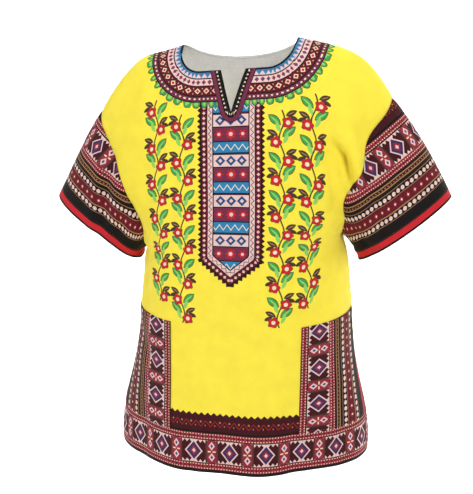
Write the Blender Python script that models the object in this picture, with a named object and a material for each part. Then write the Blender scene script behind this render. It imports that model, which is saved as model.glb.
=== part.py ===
"""A loose printed tunic shirt, filled out as if worn: front, back, two sleeves and two patch pockets.

Metres, +Z up, the front faces -Y. Left and right are the wearer's, so the left sleeve is at +X. The origin is
at the neck, midway between the two high shoulder points. Every piece is a thin wall of cloth. Its outer skin is
worked out from the sections in SECTIONS, and its inner skin lies one cloth thickness further in. Neighbouring
pieces share their seam lines, less a small gap.
"""

import math

import bpy
import numpy as np

# Cloth and seams
CLOTH = 0.0016          # wall thickness of the cotton, hems included
SEAM_GAP = 0.0003       # clearance between two pieces that are sewn together
POCKET_LIFT = 0.0004    # clearance between a pocket and the front it lies on
MITRE_LIMIT = 1.8       # how much longer than the cloth's thickness a corner's edge face may be

# Sections of the body, hem first. Each row is one level line of the cloth. side is where it meets the side
# seam or the armhole, front and back are where it crosses the middle. turn is the angle that the row turns
# through from middle to side, and full says how square it is, from 1 for an ellipse upwards.
COLUMNS = ("side_x", "side_reach", "side_z", "front_reach", "front_z", "back_reach", "back_z", "turn", "full")
SECTIONS = (
    (0.2265, 0.000, -0.732, 0.156, -0.735, 0.140, -0.730, 90, 1.08),
    (0.2262, 0.000, -0.697, 0.156, -0.698, 0.139, -0.695, 90, 1.08),
    (0.2205, 0.000, -0.661, 0.155, -0.662, 0.136, -0.660, 90, 1.10),
    (0.2120, 0.000, -0.625, 0.155, -0.625, 0.132, -0.625, 90, 1.12),
    (0.2030, 0.000, -0.588, 0.154, -0.588, 0.127, -0.588, 90, 1.14),
    (0.1950, 0.000, -0.547, 0.153, -0.547, 0.121, -0.547, 90, 1.16),
    (0.1905, 0.000, -0.505, 0.152, -0.505, 0.117, -0.505, 90, 1.18),
    (0.1875, 0.000, -0.462, 0.150, -0.462, 0.116, -0.462, 90, 1.20),
    (0.1840, 0.000, -0.420, 0.147, -0.420, 0.117, -0.420, 90, 1.22),
    (0.1790, 0.000, -0.382, 0.143, -0.382, 0.119, -0.382, 90, 1.24),
    (0.1700, 0.000, -0.350, 0.139, -0.345, 0.121, -0.345, 90, 1.25),
    (0.1730, 0.030, -0.336, 0.135, -0.304, 0.124, -0.304, 86, 1.25),
    (0.1820, 0.053, -0.304, 0.129, -0.261, 0.127, -0.261, 78, 1.24),
    (0.1955, 0.067, -0.264, 0.121, -0.214, 0.127, -0.214, 70, 1.22),
    (0.2085, 0.070, -0.222, 0.110, -0.167, 0.122, -0.167, 62, 1.18),
    (0.2205, 0.062, -0.182, 0.100, -0.123, 0.110, -0.122, 56, 1.12),
    (0.2320, 0.046, -0.146, 0.084, -0.082, 0.090, -0.078, 50, 1.06),
    (0.2395, 0.027, -0.116, 0.060, -0.040, 0.060, -0.036, 43, 1.00),
    (0.2422, 0.012, -0.102, 0.034, -0.012, 0.030, -0.010, 38, 1.00),
    (0.2430, 0.000, -0.098, 0.008, 0.000, -0.008, 0.000, 34, 1.00),
)
ARMPIT_ROW = 10         # the section at the foot of the armhole
SHOULDER_BEND = 4.0     # how late the shoulder line falls away, as a power

# Neck opening: a wide curve with a straight stretch in front and a slit down its middle
NECK_HALF = 0.0975      # half the width between the high shoulder points
NECK_FLAT = 0.0575      # half the straight stretch
NECK_DROP = -0.045      # height of the straight stretch
SLIT_HALF = 0.0205      # half the slit's width at its top
SLIT_FOOT = -0.110      # height of the slit's foot
BACK_DROP = -0.040      # height of the back neckline's middle

# Sleeves: a tube from the armhole to a slanting cuff. OUTSET is the way the cloth leaves the armhole, by how
# far round it is from the shoulder (0) to the armpit (0.5).
OUTSET_COLUMNS = ("round", "x", "y", "z")
OUTSET = (
    (0.000, 0.60, 0.00, -0.80),
    (0.125, 0.70, -0.10, -0.66),
    (0.250, 0.76, -0.05, -0.60),
    (0.375, 0.78, 0.00, -0.60),
    (0.500, 0.82, 0.00, -0.57),
)
CUFFS = {"left": (0.2762, 0.0, -0.327), "right": (0.2635, 0.0, -0.329)}    # middle of each cuff, drawn at +X
CUFF_OUT = (0.0770, 0.0, 0.056)     # from the cuff's middle to its outermost point
CUFF_DEEP = 0.061                   # half the cuff's depth from front to back
CUFF_WAY = (0.45, 0.0, -0.89)       # the way the cloth runs at the cuff

# How the shirt sits: shoulders up on the wearer's left, and the neck a little towards their right
HEM_LEAN = 0.012
SHOULDER_LEAN = 0.055
NECK_LEAN = 0.035
NECK_SHIFT = -0.010

# Where it sits unevenly, mostly round its armholes. Each row moves the cloth round one point, seen from the
# front, and fades out over its reach. face -1 moves the front alone, and 0 moves front and back alike.
SHIFT_COLUMNS = ("at_x", "at_z", "reach", "move_x", "move_z", "face")
SHIFTS = (
    (-0.243, -0.100, 0.050, -0.013, -0.020, 0),
    (0.243, -0.100, 0.045, 0.006, -0.010, 0),
    (-0.172, -0.345, 0.042, -0.010, -0.022, 0),
    (-0.180, -0.310, 0.030, 0.009, 0.000, -1),
    (0.172, -0.345, 0.042, 0.000, 0.010, 0),
    (0.222, -0.165, 0.040, -0.012, 0.000, -1),
    (0.196, -0.258, 0.040, -0.013, 0.000, -1),
    (-0.135, -0.005, 0.040, 0.000, -0.006, 0),
    (0.140, -0.005, 0.050, 0.000, -0.006, 0),
    (0.150, -0.735, 0.070, -0.002, 0.005, -1),
)

# Folds that are broad enough for this model. Each runs between two points seen from the front. face is -1 on
# the front and 1 on the back, and a depth below zero stands proud.
FOLD_COLUMNS = ("from_x", "from_z", "to_x", "to_z", "wide", "deep", "face")
FOLDS = (
    (0.158, -0.150, 0.190, -0.280, 0.015, 0.010, -1),
    (0.187, -0.120, 0.207, -0.230, 0.018, -0.005, -1),
    (0.135, -0.175, 0.160, -0.300, 0.020, -0.003, -1),
    (0.110, -0.310, 0.112, -0.480, 0.022, -0.003, -1),
    (-0.150, -0.330, -0.172, -0.420, 0.020, 0.004, -1),
    (-0.060, -0.230, -0.085, -0.640, 0.028, 0.006, 1),
    (0.070, -0.270, 0.055, -0.660, 0.030, 0.006, 1),
    (0.150, -0.330, 0.125, -0.480, 0.024, 0.005, 1),
)
FLUTE_DEEP = 0.0035     # waves along the hem
FLUTE_COUNT = 7

# How finely the cloth is divided
RIDGE_STEPS = 6         # from the neck point to the armhole
SKIRT_STEPS = 16        # from the hem to the armpit
CHEST_STEPS = 14        # from the armpit to the shoulder
SLEEVE_STEPS = 9        # from the armhole to the cuff
POCKET_ROWS = (3, 11)   # rows of the front at the pockets' feet and mouths
POCKET_EDGES = {"left": 0.1102, "right": NECK_HALF}    # where each pocket's inner edge column meets the ridge

YELLOW = (0.93, 0.76, 0.05, 1.0)
MAROON = (0.16, 0.02, 0.04, 1.0)


def columns_of(names, rows):
    """The table's rows as one array for each named column."""
    return dict(zip(names, np.array(rows, float).T))


BODY = columns_of(COLUMNS, SECTIONS)
CLIMB = np.concatenate(
    [[0.0], np.cumsum(np.hypot(np.diff(BODY["front_reach"]), np.diff(BODY["front_z"])))]
)
ARMPIT, TOP = CLIMB[ARMPIT_ROW], CLIMB[-1]


def smooth(at, knots, values):
    """Cubic pieces through the values, with each knot's slope taken from its neighbours."""
    knots, values = np.asarray(knots, float), np.asarray(values, float)
    step = np.diff(knots)
    rise = np.diff(values) / step
    slope = np.empty_like(values)
    slope[1:-1] = (rise[:-1] * step[1:] + rise[1:] * step[:-1]) / (step[:-1] + step[1:])
    slope[0] = 1.5 * rise[0] - 0.5 * slope[1]
    slope[-1] = 1.5 * rise[-1] - 0.5 * slope[-2]
    at = np.clip(at, knots[0], knots[-1])
    i = np.clip(np.searchsorted(knots, at, side="right") - 1, 0, len(step) - 1)
    s = (at - knots[i]) / step[i]
    return (
        values[i] * (1 + 2 * s) * (1 - s) ** 2
        + slope[i] * step[i] * s * (1 - s) ** 2
        + values[i + 1] * s * s * (3 - 2 * s)
        + slope[i + 1] * step[i] * s * s * (s - 1)
    )


def ramp(x, low, high):
    """0 below low, 1 above high, and an even rise between them."""
    s = np.clip((x - low) / (high - low), 0, 1)
    return s * s * (3 - 2 * s)


def unit(v):
    return v / np.maximum(np.linalg.norm(v, axis=-1, keepdims=True), 1e-12)


def body(u, climb, face):
    """Points of the front (face -1) or the back (face 1).

    u runs from -1 to 1 across the panel and climb up it. x follows the sine of the angle turned, y leaves the
    middle as one less its cosine, and z goes from the middle's height to the side's.
    """
    u, climb = np.broadcast_arrays(np.asarray(u, float), np.asarray(climb, float))
    at = {name: smooth(climb, CLIMB, BODY[name]) for name in COLUMNS}
    reach, height = ("front_reach", "front_z") if face < 0 else ("back_reach", "back_z")
    below = climb <= ARMPIT
    turn = np.radians(np.where(below, 90.0, at["turn"]))
    side_reach = np.where(below, 0.0, at["side_reach"])
    angle = np.abs(u) * turn
    away = ((1 - np.cos(angle)) / (1 - np.cos(turn))) ** at["full"]
    bend = 2 + (SHOULDER_BEND - 2) * ramp(climb, ARMPIT, TOP)
    x = np.sign(u) * at["side_x"] * np.sin(angle) / np.sin(turn)
    y = face * (at[reach] + (side_reach - at[reach]) * away)
    z = at[height] + (at["side_z"] - at[height]) * np.abs(u) ** bend
    return np.stack([x, y, z], -1)


def ridge_u(x):
    """The column whose top is at x on the shoulder ridge."""
    turn = math.radians(BODY["turn"][-1])
    return np.arcsin(np.asarray(x, float) * math.sin(turn) / BODY["side_x"][-1]) / turn


def neck_height(x, face):
    """Height of the neckline at x. The back is half an ellipse, and the front has its flat and its slit."""
    x = np.abs(x)
    if face > 0:
        return BACK_DROP * np.sqrt(np.clip(1 - (x / NECK_HALF) ** 2, 0, 1))
    corner = np.clip(x - NECK_FLAT, 0, None) / (NECK_HALF - NECK_FLAT)
    slit = np.clip(1 - x / SLIT_HALF, 0, 1)
    return NECK_DROP * np.sqrt(np.clip(1 - corner**2, 0, 1)) + (SLIT_FOOT - NECK_DROP) * slit


def neck_climb(u, face):
    """How far up each column goes: to the neckline near the middle, and to the ridge elsewhere."""
    low, high = np.full(u.shape, ARMPIT), np.full(u.shape, TOP)
    for _ in range(40):
        middle = (low + high) / 2
        point = body(u, middle, face)
        over = point[..., 2] > neck_height(point[..., 0], face)
        low, high = np.where(over, low, middle), np.where(over, middle, high)
    return np.where(np.abs(u) > ridge_u(NECK_HALF) - 1e-9, TOP, low)


def upright(u, climb):
    """Columns of the front, drawn in below the pockets' mouths, so that the pockets' inner edges stand upright.

    x is side_x times the sine of u quarter turns, so an edge keeps its x where that sine grows as side_x shrinks.
    """
    u, climb = np.broadcast_arrays(np.asarray(u, float), np.asarray(climb, float))
    mouth = ARMPIT * POCKET_ROWS[1] / SKIRT_STEPS
    flare = smooth(mouth, CLIMB, BODY["side_x"]) / smooth(np.minimum(climb, mouth), CLIMB, BODY["side_x"])
    moved = np.zeros(u.shape)
    for side, mirror in (("left", 1), ("right", -1)):
        edge, at = ridge_u(POCKET_EDGES[side]), np.clip(mirror * u, 0, None)
        kept = np.arcsin(np.sin(edge * math.pi / 2) * flare) / (math.pi / 2)
        moved += mirror * np.where(at <= edge, at * kept / edge, kept + (at - edge) * (1 - kept) / (1 - edge))
    return moved


def sleeve(loop, cuff, v):
    """Tube from the armhole's loop (v 0) to the cuff (v 1), along cubics that leave it the way OUTSET says."""
    closed = np.concatenate([loop, loop[:1]])
    way = np.concatenate([[0.0], np.cumsum(np.linalg.norm(np.diff(closed, axis=0), axis=1))])
    way = way[:-1] / way[-1]
    outset = columns_of(OUTSET_COLUMNS, OUTSET)
    half = np.minimum(way, 1 - way)
    leave = np.stack([smooth(half, outset["round"], outset[axis]) for axis in "xyz"], -1)
    leave[:, 1] *= np.where(way <= 0.5, 1, -1)
    leave, arrive = unit(leave), unit(np.array(CUFF_WAY))
    turn = 2 * math.pi * way[:, None]
    end = np.array(cuff) + np.array(CUFF_OUT) * np.cos(turn) + np.array((0, -CUFF_DEEP, 0)) * np.sin(turn)
    span = np.linalg.norm(end - loop, axis=1)[:, None]
    v = np.asarray(v, float)[:, None, None]
    return (
        loop * (2 * v**3 - 3 * v**2 + 1)
        + leave * span * (v**3 - 2 * v**2 + v)
        + end * (3 * v**2 - 2 * v**3)
        + arrive * span * (v**3 - v**2)
    )


def settle(points):
    """Folds, waves, shifts and lean, from each point's own place, so that both sides of a seam move alike."""
    x, y, z = points[..., 0], points[..., 1], points[..., 2]
    inward = unit(np.stack([-x, -2.0 * y, 0 * z], -1))
    fold = columns_of(FOLD_COLUMNS, FOLDS)
    deep = np.zeros_like(x)
    for i in range(len(FOLDS)):
        start = np.array([fold["from_x"][i], fold["from_z"][i]])
        run = np.array([fold["to_x"][i], fold["to_z"][i]]) - start
        off_x, off_z = x - start[0], z - start[1]
        along = np.clip((off_x * run[0] + off_z * run[1]) / (run @ run), 0, 1)
        gap = np.hypot(off_x - along * run[0], off_z - along * run[1])
        taper = np.sin(math.pi * (0.08 + 0.84 * along)) ** 0.6
        side = ramp(fold["face"][i] * y, 0.0, 0.05)
        deep = deep + fold["deep"][i] * taper * side * np.exp(-((gap / fold["wide"][i]) ** 2))
    angle = np.arctan2(y, x)
    flute = FLUTE_DEEP * (1 - ramp(z, -0.735, -0.50)) * np.sin(FLUTE_COUNT * angle + 0.8)
    moved = points + inward * (deep + flute)[..., None]
    shift = columns_of(SHIFT_COLUMNS, SHIFTS)
    for i in range(len(SHIFTS)):
        gap = np.hypot(x - shift["at_x"][i], z - shift["at_z"][i]) / shift["reach"][i]
        side = ramp(shift["face"][i] * y, 0.0, 0.05) if shift["face"][i] else 1.0
        moved[..., 0] += shift["move_x"][i] * side * np.exp(-(gap**2))
        moved[..., 2] += shift["move_z"][i] * side * np.exp(-(gap**2))
    near = ramp(z, -0.30, -0.02) * (1 - ramp(np.abs(x), 0.07, 0.21))
    lean = HEM_LEAN + (SHOULDER_LEAN - HEM_LEAN) * ramp(z, -0.45, -0.10) + NECK_LEAN * near
    moved[..., 0] += NECK_SHIFT * near
    moved[..., 2] += lean * x
    return moved


def grid_triangles(rows, width, wrap=False, outward=True):
    """Two triangles for each cell of a grid that is stored row by row, mirrored past its middle column."""
    triangles = []
    for i in range(rows - 1):
        for j in range(width if wrap else width - 1):
            a, b = i * width + j, i * width + (j + 1) % width
            c, d = a + width, b + width
            pair = [(a, b, d), (a, d, c)] if j < width // 2 else [(a, b, c), (b, d, c)]
            triangles += pair if outward else [t[::-1] for t in pair]
    return np.array(triangles)


def corner_angles(points, triangles):
    """Unit normal of each triangle, and its angle at each corner."""
    p = points[triangles]
    normal = unit(np.cross(p[:, 1] - p[:, 0], p[:, 2] - p[:, 0]))
    angles = []
    for k in range(3):
        a, b = unit(p[:, (k + 1) % 3] - p[:, k]), unit(p[:, (k + 2) % 3] - p[:, k])
        angles.append(np.arccos(np.clip((a * b).sum(1), -1, 1)))
    return normal, np.stack(angles, 1)


def edge_loops(triangles):
    """The open edges of a sheet, each running the way its triangle does."""
    edges = {(int(a), int(b)) for t in triangles for a, b in ((t[0], t[1]), (t[1], t[2]), (t[2], t[0]))}
    return sorted(e for e in edges if (e[1], e[0]) not in edges)


def seam_normals(pieces):
    """One normal, one mitre and one number for each point, shared by all pieces that meet there.

    The normal is the mean of the triangles round the point, weighted by their angles there. The mitre
    lengthens the step to the inner skin, so that the wall keeps its thickness on both sides of a corner.
    """
    places = {}
    shared = [
        np.array([places.setdefault(tuple(np.round(p * 1e6).astype(int)), len(places)) for p in points])
        for points, _ in pieces.values()
    ]
    total, weight, lean = np.zeros((len(places), 3)), np.zeros(len(places)), np.zeros(len(places))
    corners = []
    for (points, triangles), index in zip(pieces.values(), shared):
        normal, angle = corner_angles(points, triangles)
        for k in range(3):
            at = index[triangles[:, k]]
            np.add.at(total, at, normal * angle[:, k, None])
            corners.append((at, normal, angle[:, k]))
    total = unit(total)
    for at, normal, angle in corners:
        np.add.at(weight, at, angle)
        np.add.at(lean, at, angle * (normal * total[at]).sum(1))
    mitre = np.clip(weight / np.maximum(lean, 1e-6), 1.0, MITRE_LIMIT)
    owners = np.zeros(len(places), int)
    for index in shared:
        np.add.at(owners, index, 1)
    return {name: (total[i], mitre[i], owners[i] > 1, i) for name, i in zip(pieces, shared)}


def seam_steps(points, triangles, normals, sewn):
    """How far each sewn point draws back from its seams, so that the pieces stay SEAM_GAP apart."""
    inward = {}
    for a, b in edge_loops(triangles):
        if sewn[a] and sewn[b]:
            for k in (a, b):
                way = unit(points[b] - points[a])
                inward.setdefault(k, []).append(unit(np.cross(normals[k], way)))
    step = np.zeros_like(points)
    for k, ways in inward.items():
        total = sum(ways)
        step[k] = total * (SEAM_GAP / 2) / (1.0 if len(ways) == 1 else max(1 + ways[0] @ ways[1], 0.5))
    return step


def wall(name, outer, inner, triangles, number, colour):
    """Closed solid between two skins that share their triangles, with a rim along the open edges.

    The rim's quads are split from the point with the lower number, so that both sides of a seam split alike.
    """
    count = len(outer)
    faces = [tuple(int(i) for i in t) for t in triangles]
    faces += [tuple(int(i) + count for i in t[::-1]) for t in triangles]
    for a, b in edge_loops(triangles):
        if number[a] < number[b]:
            faces += [(b, a, b + count), (a, a + count, b + count)]
        else:
            faces += [(b, a, a + count), (b, a + count, b + count)]
    used = sorted({i for face in faces for i in face})
    renumber = {old: new for new, old in enumerate(used)}
    vertices = np.concatenate([outer, inner])[used]
    mesh = bpy.data.meshes.new(name)
    mesh.from_pydata([tuple(v) for v in vertices.tolist()], [], [[renumber[i] for i in f] for f in faces])
    mesh.validate()
    mesh.shade_smooth()
    mesh.set_sharp_from_angle(angle=math.radians(40))
    material = bpy.data.materials.new(name + "_cotton")
    material.use_nodes = True
    shader = material.node_tree.nodes["Principled BSDF"]
    shader.inputs["Base Color"].default_value = colour
    shader.inputs["Roughness"].default_value = 0.85
    shader.inputs["Metallic"].default_value = 0.0
    mesh.materials.append(material)
    piece = bpy.data.objects.new(name, mesh)
    bpy.context.collection.objects.link(piece)
    return piece


for item in list(bpy.data.objects):
    bpy.data.objects.remove(item, do_unlink=True)

# Columns: the neckline's corners, then even steps along the shoulder ridge
neck_columns = ridge_u([0.0, SLIT_HALF, 0.039, NECK_FLAT, 0.0728, 0.0858, 0.0945, NECK_HALF, POCKET_EDGES["left"]])
half = np.concatenate([neck_columns, np.linspace(neck_columns[-1], 1.0, RIDGE_STEPS + 1)[1:]])
across = np.concatenate([-half[:0:-1], half])
chest = np.linspace(ARMPIT, TOP, CHEST_STEPS + 1)
climbs = np.concatenate([np.linspace(0.0, ARMPIT, SKIRT_STEPS + 1), chest[1:]])

# Outer skins, before the seams are drawn back
pieces = {}
for name, face in (("front", -1), ("back", 1)):
    top = neck_climb(across, face)
    rise = np.clip(climbs - ARMPIT, 0, None)[:, None] * (top - ARMPIT) / (TOP - ARMPIT)
    climb = np.minimum(climbs, ARMPIT)[:, None] + rise
    grid = body(upright(across, climb) if face < 0 else across, climb, face)
    triangles = grid_triangles(len(climbs), len(across), outward=face < 0)
    pieces[name] = (settle(grid.reshape(-1, 3)), triangles)

loop = np.concatenate([body(1.0, chest[::-1], -1), body(1.0, chest, 1)[1:-1]])
for side, mirror in (("left", 1), ("right", -1)):
    tube = sleeve(loop, CUFFS[side], np.linspace(0, 1, SLEEVE_STEPS + 1)) * (mirror, 1, 1)
    triangles = grid_triangles(SLEEVE_STEPS + 1, len(loop), wrap=True, outward=mirror > 0)
    pieces["sleeve_" + side] = (settle(tube.reshape(-1, 3)), triangles)

# Walls
normals = seam_normals(pieces)
skins = {}
for name, (points, triangles) in pieces.items():
    normal, mitre, sewn, number = normals[name]
    outer = points + seam_steps(points, triangles, normal, sewn)
    skins[name] = outer
    wall(name, outer, outer - normal * (CLOTH * mitre)[:, None], triangles, number, YELLOW)

# Pockets: the front's own points moved out, so that each pocket follows it
points, triangles = pieces["front"]
normal, number = normals["front"][0], normals["front"][3]
cell = np.arange(len(triangles)) // 2
row, column = cell // (len(across) - 1), cell % (len(across) - 1)
for side, mirror in (("left", 1), ("right", -1)):
    edge = int(np.argmin(np.abs(across - mirror * ridge_u(POCKET_EDGES[side]))))
    inside = (column >= edge) if mirror > 0 else (column < edge)
    patch = triangles[inside & (row >= POCKET_ROWS[0]) & (row < POCKET_ROWS[1])]
    under = skins["front"] + normal * POCKET_LIFT
    wall("pocket_" + side, under + normal * CLOTH, under, patch, number, MAROON)
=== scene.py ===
import math

import bpy
import numpy as np
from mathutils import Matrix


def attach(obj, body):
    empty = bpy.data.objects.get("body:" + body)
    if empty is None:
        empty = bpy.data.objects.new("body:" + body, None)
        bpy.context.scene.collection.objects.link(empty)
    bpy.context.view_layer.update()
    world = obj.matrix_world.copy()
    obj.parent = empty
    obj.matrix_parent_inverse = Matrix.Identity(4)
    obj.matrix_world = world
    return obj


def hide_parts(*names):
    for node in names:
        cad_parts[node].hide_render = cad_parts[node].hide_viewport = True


# A loose tunic of printed cotton, filled out as if worn. Metres, +Z up, the front faces -Y, and the wearer's
# left is at +X. Each piece of cloth is worked out on a finer grid than the fixed model's, with its creases.

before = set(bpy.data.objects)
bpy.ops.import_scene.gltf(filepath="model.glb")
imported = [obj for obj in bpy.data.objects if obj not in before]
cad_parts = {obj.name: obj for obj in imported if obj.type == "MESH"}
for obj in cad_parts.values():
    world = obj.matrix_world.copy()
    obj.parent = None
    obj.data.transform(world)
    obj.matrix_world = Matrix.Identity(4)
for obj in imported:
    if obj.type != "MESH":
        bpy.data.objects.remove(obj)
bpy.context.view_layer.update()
mm = 0.001


def addObject(name, data):
    # A new object at the origin, in the scene
    added = bpy.data.objects.new(name, data)
    bpy.context.scene.collection.objects.link(added)
    return added


# Camera, fitted to the photo's own perspective
cameraSetup = {
    "distance": 2.1,    # from the origin, level
    "height": 0.25,     # above the origin
    "round": 11.0,      # degrees round to the wearer's left
    "down": 16.4,       # degrees that it looks down
    "lens": 90.3,       # mm, on a 36 mm sensor
    "shift": -0.0202,   # the photo has the shirt a little right of its middle
}


def makeCamera():
    way = math.radians(cameraSetup["round"])
    camera = addObject("camera", bpy.data.cameras.new("camera"))
    camera.data.lens = cameraSetup["lens"]
    camera.data.sensor_width = 36
    camera.data.shift_x = cameraSetup["shift"]
    across = cameraSetup["distance"]
    camera.location = (across * math.sin(way), -across * math.cos(way), cameraSetup["height"])
    camera.rotation_euler = (math.radians(90 - cameraSetup["down"]), 0, way)
    bpy.context.scene.camera = camera


makeCamera()
print("camera placed")

# Form of the body: level lines of the cloth, hem first, as in the fixed model
sectionColumns = ("sideX", "sideReach", "sideZ", "frontReach", "frontZ", "backReach", "backZ", "turn", "full")
sections = (
    (0.2265, 0.000, -0.732, 0.156, -0.735, 0.140, -0.730, 90, 1.08),
    (0.2262, 0.000, -0.697, 0.156, -0.698, 0.139, -0.695, 90, 1.08),
    (0.2205, 0.000, -0.661, 0.155, -0.662, 0.136, -0.660, 90, 1.10),
    (0.2120, 0.000, -0.625, 0.155, -0.625, 0.132, -0.625, 90, 1.12),
    (0.2030, 0.000, -0.588, 0.154, -0.588, 0.127, -0.588, 90, 1.14),
    (0.1950, 0.000, -0.547, 0.153, -0.547, 0.121, -0.547, 90, 1.16),
    (0.1905, 0.000, -0.505, 0.152, -0.505, 0.117, -0.505, 90, 1.18),
    (0.1875, 0.000, -0.462, 0.150, -0.462, 0.116, -0.462, 90, 1.20),
    (0.1840, 0.000, -0.420, 0.147, -0.420, 0.117, -0.420, 90, 1.22),
    (0.1790, 0.000, -0.382, 0.143, -0.382, 0.119, -0.382, 90, 1.24),
    (0.1700, 0.000, -0.350, 0.139, -0.345, 0.121, -0.345, 90, 1.25),
    (0.1730, 0.030, -0.336, 0.135, -0.304, 0.124, -0.304, 86, 1.25),
    (0.1820, 0.053, -0.304, 0.129, -0.261, 0.127, -0.261, 78, 1.24),
    (0.1955, 0.067, -0.264, 0.121, -0.214, 0.127, -0.214, 70, 1.22),
    (0.2085, 0.070, -0.222, 0.110, -0.167, 0.122, -0.167, 62, 1.18),
    (0.2205, 0.062, -0.182, 0.100, -0.123, 0.110, -0.122, 56, 1.12),
    (0.2320, 0.046, -0.146, 0.084, -0.082, 0.090, -0.078, 50, 1.06),
    (0.2395, 0.027, -0.116, 0.060, -0.040, 0.060, -0.036, 43, 1.00),
    (0.2422, 0.012, -0.102, 0.034, -0.012, 0.030, -0.010, 38, 1.00),
    (0.2430, 0.000, -0.098, 0.008, 0.000, -0.008, 0.000, 34, 1.00),
)
bodyForm = {
    "armpitRow": 10,        # the section at the foot of the armhole
    "shoulderBend": 4.0,    # how late the shoulder line falls away, as a power
    "hemLean": 0.012,       # the shirt sits higher on the wearer's left
    "shoulderLean": 0.055,
    "neckLean": 0.035,
    "neckShift": -0.010,
    "leanZ": (-0.45, -0.10),    # between these heights the hem's lean grows into the shoulders'
    "neckZ": (-0.30, -0.02),    # between these the neck's own lean and shift set in
    "neckX": (0.07, 0.21),      # and between these distances from the middle they fade out
    "fluteDeep": 0.0035,    # waves along the hem
    "fluteCount": 7,
    "fluteStart": 0.8,      # radians
    "fluteZ": (-0.735, -0.50),  # full at the hem, and gone at the waist
}
neckForm = {
    "half": 0.0975,         # half the width between the high shoulder points
    "flat": 0.0575,         # half the straight stretch in front
    "drop": -0.045,         # height of that stretch
    "slitHalf": 0.0205,     # half the slit's width at its top
    "slitFoot": -0.110,     # height of the slit's foot
    "backDrop": -0.040,     # height of the back neckline's middle
}
sleeveForm = {
    "cuffs": {"left": (0.2762, 0.0, -0.327), "right": (0.2635, 0.0, -0.329)},   # middles, drawn at +X
    "cuffOut": (0.0770, 0.0, 0.056),    # from the cuff's middle to its outermost point
    "cuffDeep": 0.061,                  # half the cuff's depth
    "cuffWay": (0.45, 0.0, -0.89),      # the way the cloth runs at the cuff
}
sleevePull = {    # how the sleeve's grain is drawn up beside the armhole
    "high": 0.012,
    "long": 0.016,          # over which it fades out
    "around": (0.12, 0.24), # from the top of the sleeve: where it starts, and where it is full
}
outset = {    # the way the cloth leaves the armhole, by how far round it is from the shoulder to the armpit
    "round": (0.000, 0.125, 0.250, 0.375, 0.500),
    "x": (0.60, 0.70, 0.76, 0.78, 0.82),
    "y": (0.00, -0.10, -0.05, 0.00, 0.00),
    "z": (-0.80, -0.66, -0.60, -0.60, -0.57),
}
clothSetup = {
    "thick": 0.0010,        # of each shell
    "seamSink": 0.0009,     # how far a seam lies below the cloth beside it
    "seamWide": 0.0035,
    "puckerHigh": 0.0007,   # small ripples beside the seams
    "puckerWide": 0.012,
    "puckerLong": 0.017,
    "puckerDrift": (2.5, 37),       # how far they wander, in radians, and how fast along the seam
    "puckerFade": (0.45, 23, 1.3),  # how much they come and go, how fast, and where that starts
    "creaseGain": 1.3,      # how strongly the finer creases show, against their own depths
    "step": 0.0045,         # between the points of each grid
    "panelHalf": 0.29,      # rough half width of a panel and length of a sleeve, which the steps divide
    "sleeveLong": 0.2,
}

# Where the shirt sits unevenly, mostly round its armholes. Each row moves the cloth round one point, seen
# from the front, and fades out over its reach. face -1 moves the front alone, and 0 front and back alike.
shiftColumns = ("atX", "atZ", "reach", "moveX", "moveZ", "face")
shifts = (
    (-0.243, -0.100, 0.050, -0.013, -0.020, 0),
    (0.243, -0.100, 0.045, 0.006, -0.010, 0),
    (-0.172, -0.345, 0.042, -0.010, -0.022, 0),
    (-0.180, -0.310, 0.030, 0.009, 0.000, -1),
    (0.172, -0.345, 0.042, 0.000, 0.010, 0),
    (0.222, -0.165, 0.040, -0.012, 0.000, -1),
    (0.196, -0.258, 0.040, -0.013, 0.000, -1),
    (-0.135, -0.005, 0.040, 0.000, -0.006, 0),
    (0.140, -0.005, 0.050, 0.000, -0.006, 0),
    (0.150, -0.735, 0.070, -0.002, 0.005, -1),
)

# Creases. Each runs between two points seen from the front. face is -1 on the front and 1 on the back, and a
# depth below zero stands proud. These are in the fixed model as well.
creaseColumns = ("fromX", "fromZ", "toX", "toZ", "wide", "deep", "face")
creases = (
    (0.158, -0.150, 0.190, -0.280, 0.015, 0.0100, -1),
    (0.187, -0.120, 0.207, -0.230, 0.018, -0.0050, -1),
    (0.135, -0.175, 0.160, -0.300, 0.020, -0.0030, -1),
    (0.110, -0.310, 0.112, -0.480, 0.022, -0.0030, -1),
    (-0.150, -0.330, -0.172, -0.420, 0.020, 0.0040, -1),
    (-0.060, -0.230, -0.085, -0.640, 0.028, 0.0060, 1),
    (0.070, -0.270, 0.055, -0.660, 0.030, 0.0060, 1),
    (0.150, -0.330, 0.125, -0.480, 0.024, 0.0050, 1),
)
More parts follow.
